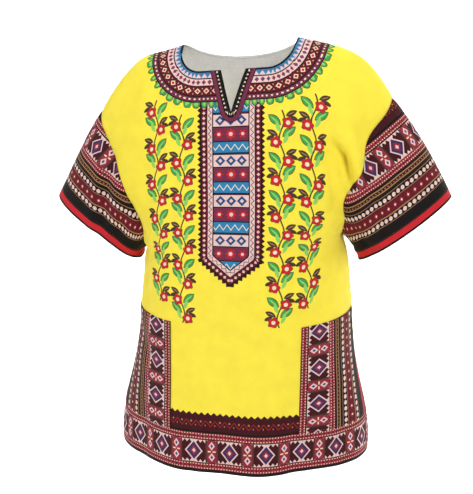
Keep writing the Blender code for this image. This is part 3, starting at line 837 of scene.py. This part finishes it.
# bands: where each plain one starts, and its colour. blocks: their middle line. strip: the zigzag's middle line
# and the strip's end. fine: each row's period, middle line, half length, half width, two powers and colour.
borders = {
    "hem": {
        "reach": 128,
        "bands": (
            (0, "black"), (6, "crimson"), (17.5, "black"), (19, "deepMaroon"), (61, "black"),
            (62.5, "crimson"), (74, "black"), (78, "deepMaroon"), (108, "yellow"),
        ),
        "blocks": 40,
        "strip": (92, 108),
        "fine": (*dottedStrip(8, 11.8, 15.5), *dottedStrip(64.8, 68.3, 71.8)),
    },
    "cuff": {
        "reach": 240,
        "bands": (
            (0, "black"), (3, "red"), (14, "black"), (33, "tan"), (34.5, "black"), (45, "tan"),
            (46.5, "maroon"), (64, "tan"), (65.5, "black"), (76, "tan"), (77.5, "black"), (83, "tan"),
            (84.5, "deepMaroon"), (90, "tan"), (91.5, "black"), (96, "crimson"), (107, "black"),
            (108.5, "deepMaroon"), (150.5, "black"), (152, "crimson"), (163, "black"),
            (167, "deepMaroon"), (204, "yellow"),
        ),
        "blocks": 129.5,
        "strip": (185, 204),
        "fine": (
            (10.5, 39.7, 4.1, 3.5, 2, 1.4, "pink"),
            (15, 55.3, 4.6, 5, 1, 1, "crimson"),
            (15, 55.3, 2, 2.2, 1, 1, "cream"),
            (10.5, 70.7, 4.1, 3.5, 2, 1.4, "pink"),
            (7, 87.3, 1.6, 1.2, 1, 1, "tan"),
            *dottedStrip(98.2, 101.5, 104.8),
            *dottedStrip(154.2, 157.5, 160.8),
        ),
    },
}


def paintBorder(tree, along, across, border, ground):
    colour = paintBands(tree, across, border["bands"], border["reach"])
    blocks, half, period = border["blocks"], borderForm["half"], borderForm["period"]
    long, high = borderForm["tooth"]
    colour = paintTeeth(tree, along, across, colour, long, blocks - half, high, "pink")
    colour = paintTeeth(tree, along, across, colour, long, blocks + half, -high, "pink")
    for rowPeriod, middle, *shape in border["fine"]:
        colour = paintRow(tree, along, across, colour, rowPeriod, middle, [(0, 0, 0, *shape)])
    colour = paintRow(tree, along, across, colour, period, blocks, blockShapes)
    colour = paintRow(tree, along, across, colour, period, blocks, crossShapes, period / 2)
    middle, top = border["strip"]
    long, high, thick = borderForm["zigzag"]
    colour = paintZigzag(tree, along, across, colour, long, middle, high, thick, "red")
    dots = [(x, y, 0, 1.7, 1.7, 2, 2, "tan") for x, y in ((0, 3.4), (long / 2, -3.4))]
    colour = paintRow(tree, along, across, colour, long, middle, dots)
    colour = paintWhere(tree, calculate(tree, "LESS_THAN", across, top * mm), ground, colour)
    long, high = borderForm["endTooth"]
    return paintTeeth(tree, along, across, colour, long, top, high, "deepMaroon")


# Flowering stems that stand on the yellow, either side of the panel
stemForm = {
    "first": 84,        # from the middle line to the first stem, in mm
    "apart": 50,
    "repeat": 60,
    "foot": (252, 312), # where the first and the second stem start, from the hem
    "top": (618, 672),  # the highest that a repeat's middle may be on each
}
stemLeaves = (
    (-11.5, 14.5, 140, 13.6, 6.6, 2, 1, "leafBrown"),
    (-11.5, 14.5, 140, 12.4, 5.4, 2, 1, "green"),
    (-11.5, 14.5, 140, 9.5, 1.4, 2, 1, "lightGreen"),
    (11.5, -4, 38, 13.6, 6.6, 2, 1, "leafBrown"),
    (11.5, -4, 38, 12.4, 5.4, 2, 1, "green"),
    (11.5, -4, 38, 9.5, 1.4, 2, 1, "lightGreen"),
    (-6, 3, 112, 9, 3.4, 2, 1, "lightGreen"),
    (6.5, -15, 66, 9, 3.4, 2, 1, "lightGreen"),
    (15, 25, 26, 10, 4.4, 2, 1, "leafBrown"),
    (19, 17, -22, 8, 3.4, 2, 1, "leafBrown"),
    (-15, -6, 154, 10, 4.4, 2, 1, "leafBrown"),
    (-19, -14, 202, 8, 3.4, 2, 1, "leafBrown"),
    (15, 25, 26, 6.5, 0.8, 2, 1, "tan"),
    (-15, -6, 154, 6.5, 0.8, 2, 1, "tan"),
)
stemFlowers = (
    (10, 10, 10.6, 5, 1.3, "leafBrown", "leafBrown"),
    (10, 10, 9.6, 5, 1.3, "red", "cream"),
    (-10, -21, 10.6, 5, 1.3, "leafBrown", "leafBrown"),
    (-10, -21, 9.6, 5, 1.3, "red", "cream"),
)


def paintStems(tree, p, q, ground):
    side = calculate(tree, "ABSOLUTE", p)
    first, apart, repeat = stemForm["first"], stemForm["apart"], stemForm["repeat"]
    off = calculate(tree, "SUBTRACT", side, first * mm)
    x = calculate(tree, "WRAP", off, apart / 2 * mm, -apart / 2 * mm)
    number = calculate(tree, "DIVIDE", calculate(tree, "SUBTRACT", off, x), apart * mm)
    shift = calculate(tree, "MULTIPLY_ADD", number, repeat / 2 * mm, q)
    y = calculate(tree, "WRAP", shift, repeat / 2 * mm, -repeat / 2 * mm)
    place = addNode(tree, "CombineXYZ", {}, {0: x, 1: y})
    wave = calculate(tree, "SINE", calculate(tree, "MULTIPLY", y, 2 * math.pi / (repeat * mm)))
    gap = calculate(tree, "ABSOLUTE", calculate(tree, "MULTIPLY_ADD", wave, -4.2 * mm, x))
    colour = paintWhere(tree, calculate(tree, "LESS_THAN", gap, 1.3 * mm), ground, ink["leafBrown"])
    colour = paintShapes(tree, place, colour, stemLeaves)
    colour = paintFlowers(tree, place, colour, stemFlowers)
    # Whole repeats only: a repeat is drawn where its own middle lies between the stem's foot and its top
    middle = calculate(tree, "SUBTRACT", q, y)
    foot, top = (
        calculate(tree, "MULTIPLY_ADD", number, (high - low) * mm, low * mm)
        for low, high in (stemForm["foot"], stemForm["top"])
    )
    above, below = calculate(tree, "GREATER_THAN", middle, foot), calculate(tree, "LESS_THAN", middle, top)
    shown = calculate(tree, "MULTIPLY", above, below)
    twoStems = calculate(tree, "COMPARE", number, 0.5, 0.6)    # number is 0 or 1
    return paintWhere(tree, calculate(tree, "MULTIPLY", shown, twoStems), ground, colour)


# The chest panel's tiers
tierShapes = (
    (0, 22, 0, 60, 10, 9, 9, "pink"),
    *((x, 22, 0, 8.5, 8.5, 1, 1, "deepBlue") for x in (0, -18, 18)),
    *((x, 22, 0, 3.6, 3.6, 1, 1, "pink") for x in (0, -18, 18)),
    (0, -22, 0, 60, 9, 9, 9, "blue"),
    *((0, y, 0, 60, 0.9, 9, 9, "black") for y in (11.5, 32.5, -12.5, -31.5)),
)
tierFlowers = (
    (0, -0.5, 9, 8, 1.6, "red", "pink"),
    (-20, -0.5, 7, 6, 1.6, "red", "pink"),
    (20, -0.5, 7, 6, 1.6, "red", "pink"),
)


def paintPanel(tree, p, q, ground):
    along, gap = readMap(tree, "panel")
    deep = calculate(tree, "MULTIPLY", gap, -1.0)
    colour = paintBands(tree, deep, panelForm["bands"], panelForm["reach"])
    y = calculate(tree, "WRAP", q, panelForm["tier"] / 2 * mm, -panelForm["tier"] / 2 * mm)
    place = addNode(tree, "CombineXYZ", {}, {0: p, 1: y})
    inner = paintShapes(tree, place, colour, tierShapes)
    inner = paintFlowers(tree, place, inner, tierFlowers)
    inner = paintZigzag(tree, p, y, inner, 13, -22, 9, 2.2, "cream")
    within = calculate(tree, "GREATER_THAN", deep, panelForm["bands"][-1][0] * mm)
    colour = paintWhere(tree, within, colour, inner)
    colour = paintRow(tree, along, deep, colour, 8.5, 6.5, [(0, 0, 0, 2.8, 2.8, 1, 1, "pink")])
    colour = paintZigzag(tree, along, deep, colour, 10, 16.5, 5, 1.6, "maroon")
    colour = paintWhere(tree, calculate(tree, "GREATER_THAN", deep, 0.0), ground, colour)
    return paintTeeth(tree, along, gap, colour, 9, 0, 5, "deepMaroon")


# Rings round the neckline, and plain bands along the slit that cuts through them
ringForm = {
    "reach": 100,
    "bands": (
        (0, "black"), (3.5, "blue"), (13, "black"), (15, "pink"), (26, "black"), (28, "maroon"),
        (43, "black"), (45, "plum"), (53, "black"), (55, "yellow"),
    ),
    "edge": 55,
}
slitForm = {
    "bands": ((0, "black"), (10.5, "plum"), (16.5, "black"), (18, "yellow")),
    "edge": 18,
}
edgeDots = ((0, 0, 0, 1.5, 1.5, 2, 2, "cream"),)


def paintRings(tree, ground):
    along, gap = readMap(tree, "ring")
    ground = paintRow(tree, along, gap, ground, 12, ringForm["edge"], [
        (0, 0, 0, 5.6, 10, 2, 2, "leafBrown"), (0, 0, 0, 4.8, 9, 2, 2, "green"),
        (0, 1, 0, 2.2, 5, 2, 2, "lightGreen"),
    ])
    colour = paintBands(tree, gap, ringForm["bands"], ringForm["reach"])
    colour = paintTeeth(tree, along, gap, colour, 11, 13, -8, "pink")
    colour = paintRow(tree, along, gap, colour, 10, 20.5, [
        (0, 0, 0, 4.0, 4.4, 1, 1, "crimson"), (0, 0, 0, 1.8, 2, 1, 1, "deepBlue"),
    ])
    colour = paintRow(tree, along, gap, colour, 15, 35.5, [
        (0, 0, 0, 5, 5, 1, 1, "cream"), (0, 0, 0, 3, 3, 1, 1, "red"),
        (7.5, 4.4, 0, 1.2, 1.2, 2, 2, "cream"), (7.5, -4.4, 0, 1.2, 1.2, 2, 2, "cream"),
    ])
    colour = paintRow(tree, along, gap, colour, 7, 49, edgeDots)
    return paintWhere(tree, calculate(tree, "LESS_THAN", gap, ringForm["edge"] * mm), ground, colour)


def paintSlit(tree, ground):
    along, gap = readMap(tree, "slit")
    colour = paintBands(tree, gap, slitForm["bands"], ringForm["reach"])
    colour = paintRow(tree, along, gap, colour, 7, 7, edgeDots, 3.5)
    return paintWhere(tree, calculate(tree, "LESS_THAN", gap, slitForm["edge"] * mm), ground, colour)


cottonFinish = {
    "rough": 0.78,
    "sheen": 0.04,
    "gloss": 0.18,          # specular level, low as the cloth is matt and its dark inks stay deep
    "threadApart": 1.6,     # mm. The real 0.4 mm is too fine to show, so the threads are drawn coarser
    "threadHigh": 0.05,     # mm
    "cloudScale": 38.0,     # of the faint unevenness of the dye
    "cloudTone": (0.95, 1.03),
    "foldDip": (-0.5, 2.2), # mm: height and half width of the line where a hem is sewn down
    "foldStep": 0.35,       # mm: how much higher the turned hem stands
    "paleAndPaintedLight": 0.92,          # share of near-white over the print on the wrong side: its own fainter print, lifted further as painted light on the shaded inside
    "wrongSide": "#FFFEFA",
}


def newMaterial(name):
    material = bpy.data.materials.new(name)
    material.use_nodes = True
    return material, material.node_tree, material.node_tree.nodes["Principled BSDF"]


def paintFront(tree):
    p, q = readMap(tree, "cut")
    colour = paintStems(tree, p, q, ink["yellow"])
    colour = paintPanel(tree, p, q, colour)
    colour = paintSlit(tree, paintRings(tree, colour))
    return paintBorder(tree, p, q, borders["hem"], colour)


def paintBack(tree):
    p, q = readMap(tree, "cut")
    colour = paintStems(tree, p, q, ink["yellow"])
    colour = paintRings(tree, colour)
    return paintBorder(tree, p, q, borders["hem"], colour)


def paintSleeve(tree):
    p, q = readMap(tree, "cut")
    return paintBorder(tree, p, q, borders["cuff"], ink["yellow"])


def paintPocket(tree):
    across, up = readMap(tree, "cut")
    return paintBorder(tree, up, across, borders["cuff"], ink["yellow"])


def printedCotton(name, paint, wrongSide=False):
    # Plain-woven cotton, printed on one side: matt, with a faint bloom along its edges and its threads just
    # felt. The print shows through fainter on the wrong side, which is also mixed almost to white as painted
    # light, so that the shaded inside looks lit.
    material, tree, shader = newMaterial(name)
    colour = paint(tree)
    # The inside skin's colour is mixed almost to white: the back of a print is fainter, and the rest is painted
    # light that brightens the shaded inside seen through the neck
    if wrongSide:
        colour = paintWhere(tree, cottonFinish["paleAndPaintedLight"], colour, linearColour(cottonFinish["wrongSide"]))
    place = addNode(tree, "TexCoord", {}, {}, 3)
    scale, (low, high) = cottonFinish["cloudScale"], cottonFinish["cloudTone"]
    cloud = addNode(tree, "TexNoise", {}, {"Vector": place, "Scale": scale, "Detail": 4.0})
    tone = addNode(tree, "MapRange", {}, {
        "Value": cloud, "From Min": 0.3, "From Max": 0.7, "To Min": low, "To Max": high,
    })
    colour = addNode(tree, "HueSaturation", {}, {"Value": tone, "Color": colour})
    tree.links.new(colour, shader.inputs["Base Color"])
    shader.inputs["Roughness"].default_value = cottonFinish["rough"]
    shader.inputs["Sheen Weight"].default_value = cottonFinish["sheen"]
    shader.inputs["Specular IOR Level"].default_value = cottonFinish["gloss"]
    p, q = readMap(tree, "cut")
    turn = 2 * math.pi / (cottonFinish["threadApart"] * mm)
    warp = calculate(tree, "SINE", calculate(tree, "MULTIPLY", p, turn))
    weft = calculate(tree, "SINE", calculate(tree, "MULTIPLY", q, turn))
    weave = calculate(tree, "MULTIPLY", warp, weft)
    fold = addNode(tree, "Attribute", {"attribute_name": "fold"}, {}, 2)
    away = calculate(tree, "ABSOLUTE", fold)
    deep, wide = cottonFinish["foldDip"]
    dip = addNode(tree, "MapRange", {"interpolation_type": "SMOOTHSTEP"}, {
        "Value": away, "From Min": 0.0, "From Max": wide * mm, "To Min": deep, "To Max": 0.0,
    })
    step = addNode(tree, "MapRange", {"interpolation_type": "SMOOTHSTEP"}, {
        "Value": fold, "From Min": -mm, "From Max": mm, "To Min": cottonFinish["foldStep"], "To Max": 0.0,
    })
    turned = calculate(tree, "ADD", dip, step)
    height = calculate(tree, "MULTIPLY_ADD", weave, cottonFinish["threadHigh"], turned)
    bump = addNode(tree, "Bump", {}, {"Height": height, "Distance": mm, "Strength": 1.0})
    tree.links.new(bump, shader.inputs["Normal"])
    return material


painters = {
    "front": paintFront,
    "back": paintBack,
    "sleeve_left": paintSleeve,
    "sleeve_right": paintSleeve,
    "pocket_left": paintPocket,
    "pocket_right": paintPocket,
}
for name, paint in painters.items():
    pieces[name].data.materials.append(printedCotton(name + "_printedCotton", paint))
    pieces[name].data.materials.append(printedCotton(name + "_wrongSide", paint, True))
print("print painted")

# Stitches along the turned edges
stitchForm = {
    "apart": 0.0036,
    "long": 0.0028,
    "half": 0.00028,    # half the thread's thickness, a little more than the real 0.15 mm so that it shows
    "sides": 5,
    "station": (-0.5, 0.0, 0.5),    # places along a stitch, as shares of its length
    "swell": (0.5, 1.0, 0.5),       # its radius there, and how high its middle lies, as shares of half
    "lift": (-0.6, 0.9, -0.6),
}


def pointsAt(values, lengths, at):
    # Where each of a grid's columns reaches that running length
    i = np.clip((lengths < at).sum(0), 1, len(lengths) - 1)[None]
    low, high = np.take_along_axis(lengths, i - 1, 0), np.take_along_axis(lengths, i, 0)
    share = ((at - low) / (high - low))[..., None]
    below, above = (np.take_along_axis(values, k[..., None], 0) for k in (i - 1, i))
    return (below + (above - below) * share)[0]


def stitchRow(line, normal):
    # Even places along a line, each with the line's own way and the cloth's normal there
    length = lengthsAlong(line, 0)
    middle = np.arange(0.5, length[-1] / stitchForm["apart"]) * stitchForm["apart"]
    place, up = (np.stack([np.interp(middle, length, v[:, k]) for k in range(3)], -1) for v in (line, normal))
    way = np.stack([np.interp(middle, length, k) for k in np.gradient(line, length, axis=0).T], -1)
    return place, unitOf(way), unitOf(up)


def makeStitches(name, rows):
    # Each stitch is a short thread, round across, thickest in its middle, with its ends pressed in
    place, way, up = (np.concatenate(part) for part in zip(*(stitchRow(*row) for row in rows)))
    turn = np.arange(stitchForm["sides"]) * 2 * math.pi / stitchForm["sides"]
    station = stitchForm["long"] * np.array(stitchForm["station"])
    swell, lift = (stitchForm["half"] * np.array(stitchForm[part]) for part in ("swell", "lift"))
    side = np.cross(up, way)
    ring = side[:, None] * np.cos(turn)[:, None] + up[:, None] * np.sin(turn)[:, None]
    middle = place[:, None] + way[:, None] * station[:, None] + up[:, None] * lift[:, None]
    points = middle[:, :, None] + ring[:, None] * swell[:, None, None]
    sides = stitchForm["sides"]
    first = (np.arange(len(place)) * len(station) * sides)[:, None]
    tube = first[..., None] + gridFaces(len(station), sides, wrap=True)
    caps = [first + np.arange(sides)[::-1], first + (len(station) - 1) * sides + np.arange(sides)]
    mesh = bpy.data.meshes.new(name)
    faces = tube.reshape(-1, 4).tolist() + np.concatenate(caps).tolist()
    mesh.from_pydata(points.reshape(-1, 3).tolist(), [], faces)
    mesh.shade_smooth()
    mesh.materials.append(sewingThread)
    stitches = addObject(name, mesh)
    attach(stitches, "root")


def makeThread():
    # Spun polyester thread: dull, with a slight shine along its twist
    material, tree, shader = newMaterial("spunPolyesterThread")
    place = addNode(tree, "TexCoord", {}, {}, 3)
    fuzz = addNode(tree, "TexNoise", {}, {"Vector": place, "Scale": 900.0, "Detail": 2.0})
    colour = paintWhere(tree, fuzz, linearColour("#3A1A1C"), linearColour("#6E4A3C"))
    tree.links.new(colour, shader.inputs["Base Color"])
    shader.inputs["Roughness"].default_value = 0.55
    shader.inputs["Sheen Weight"].default_value = 0.2
    return material


def turnedLine(name):
    # The neckline moved in by its hem, where that stays clear of its other stretches
    line, normal = skins[name][-1, ridgeTo : ridgeFrom + 1], neckNormals[name]
    inner = movedIn(name, line, normal, hemForm["neck"])
    keep = nearestOn(inner, line)[0] > 0.9 * hemForm["neck"]
    return inner[keep], normal[keep]


def fourWays(grid):
    # A patch's rows as they are met from its foot, its mouth and its two sides
    return grid, grid[::-1], grid.swapaxes(0, 1), grid.swapaxes(0, 1)[::-1]


sewingThread = makeThread()
hemRow = int(np.argmin(np.abs(climbRows - hemForm["body"])))
hemRows = [(skins[name][hemRow], normals[name][hemRow]) for name in ("front", "back")]
makeStitches("hem_stitches", hemRows)
makeStitches("neck_stitches", [turnedLine(name) for name in ("front", "back")])
cuffRows = []
for side in ("left", "right"):
    name = "sleeve_" + side
    fromCuff = grids[name][1][::-1, :-1, 1]
    line, up = (pointsAt(v[name][::-1], fromCuff, hemForm["cuff"]) for v in (skins, normals))
    cuffRows.append((np.concatenate([line, line[:1]]), np.concatenate([up, up[:1]])))
makeStitches("cuff_stitches", cuffRows)
pocketRows = []
for side in ("left", "right"):
    patch, up = fourWays(cloths["pocket_" + side]["points"]), fourWays(pocketNormals[side])
    for points, normal, away in zip(patch, up, ("stitch", "hem", "stitch", "stitch")):
        lengths = lengthsAlong(points, 0)
        pocketRows.append([pointsAt(v, lengths, pocketForm[away]) for v in (points, normal)])
makeStitches("pocket_stitches", pocketRows)
print("stitches made")

# How each piece was cut: width, length and area in metres
cuts = {
    "front": ((0.60, 0.75), 0.375, "front_cotton"),
    "back": ((0.58, 0.79), 0.368, "back_cotton"),
    "sleeve_left": ((0.59, 0.22), 0.067, "sleeve_cotton"),
    "sleeve_right": ((0.59, 0.20), 0.056, "sleeve_cotton"),
    "pocket_left": ((0.18, 0.195), 0.0324, "pocket_cotton"),
    "pocket_right": ((0.20, 0.195), 0.0353, "pocket_cotton"),
}
for name, (flat, area, slotName) in cuts.items():
    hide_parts(name)
    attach(pieces[name], "root")

# A pale floor that turns up into a wall, and soft light from large lamps
stageForm = {
    "floor": -1.35,
    "wall": 3.2,
    "bend": 1.2,
    "half": 6.0,
    "colour": "#FBFBFB",
}
lamps = {    # place, size in metres, power in watts
    "key": ((1.7, -2.2, 1.5), 1.4, 51),
    "fill": ((-2.6, -1.7, 0.3), 1.8, 29),
    "top": ((0.0, 0.2, 2.4), 1.6, 24),
    "behindLeft": ((-2.4, 1.6, 0.6), 1.6, 5),
    "behindRight": ((2.4, 1.6, 0.6), 1.6, 12),
}


washSetup = {    # a long lamp behind the shirt that lights only the backdrop
    "place": (0.0, 0.9, 0.9),
    "down": 28,         # degrees
    "power": 130,
}


def makeStage():
    # The floor's line from front to back, bent through a quarter circle, and carried from side to side
    turn = np.linspace(0, math.pi / 2, 25)
    bend, wall = stageForm["bend"], stageForm["wall"]
    y = np.concatenate([[-6.0], wall - bend + bend * np.sin(turn), [wall]])
    z = stageForm["floor"] + np.concatenate([[0.0], bend * (1 - np.cos(turn)), [6.0]])
    x = np.linspace(-stageForm["half"], stageForm["half"], 3)
    points = np.stack(np.broadcast_arrays(x[None, :], y[:, None], z[:, None]), -1)
    mesh = bpy.data.meshes.new("studio")
    mesh.from_pydata(points.reshape(-1, 3).tolist(), [], gridFaces(len(y), len(x)).tolist())
    mesh.shade_smooth()
    material, _, shader = newMaterial("mattPaper")
    shader.inputs["Base Color"].default_value = linearColour(stageForm["colour"])
    shader.inputs["Roughness"].default_value = 0.95
    mesh.materials.append(material)
    studio = addObject("studio", mesh)


def makeLight():
    for name, (place, size, power) in lamps.items():
        lamp = addObject(name, bpy.data.lights.new(name, "AREA"))
        lamp.data.size = size
        lamp.data.energy = power
        lamp.location = place
        aim = np.array((0, 0, -0.35)) - np.array(place)
        level = math.hypot(aim[0], aim[1])
        lamp.rotation_euler = (math.pi / 2 + math.atan2(aim[2], level), 0, math.atan2(-aim[0], aim[1]))
    wash = addObject("wallWash", bpy.data.lights.new("wallWash", "AREA"))
    wash.data.shape = "RECTANGLE"
    wash.data.size, wash.data.size_y = 5.0, 1.0
    wash.data.energy = washSetup["power"]
    wash.location = washSetup["place"]
    wash.rotation_euler = (math.radians(90 - washSetup["down"]), 0, 0)
    world = bpy.data.worlds.new("studioLight")
    world.use_nodes = True
    sky = world.node_tree.nodes["Background"]
    sky.inputs["Color"].default_value = (1, 1, 1, 1)
    sky.inputs["Strength"].default_value = 0.42
    bpy.context.scene.world = world
    bpy.context.scene.view_settings.view_transform = "Standard"


makeStage()
makeLight()
print("studio lit")
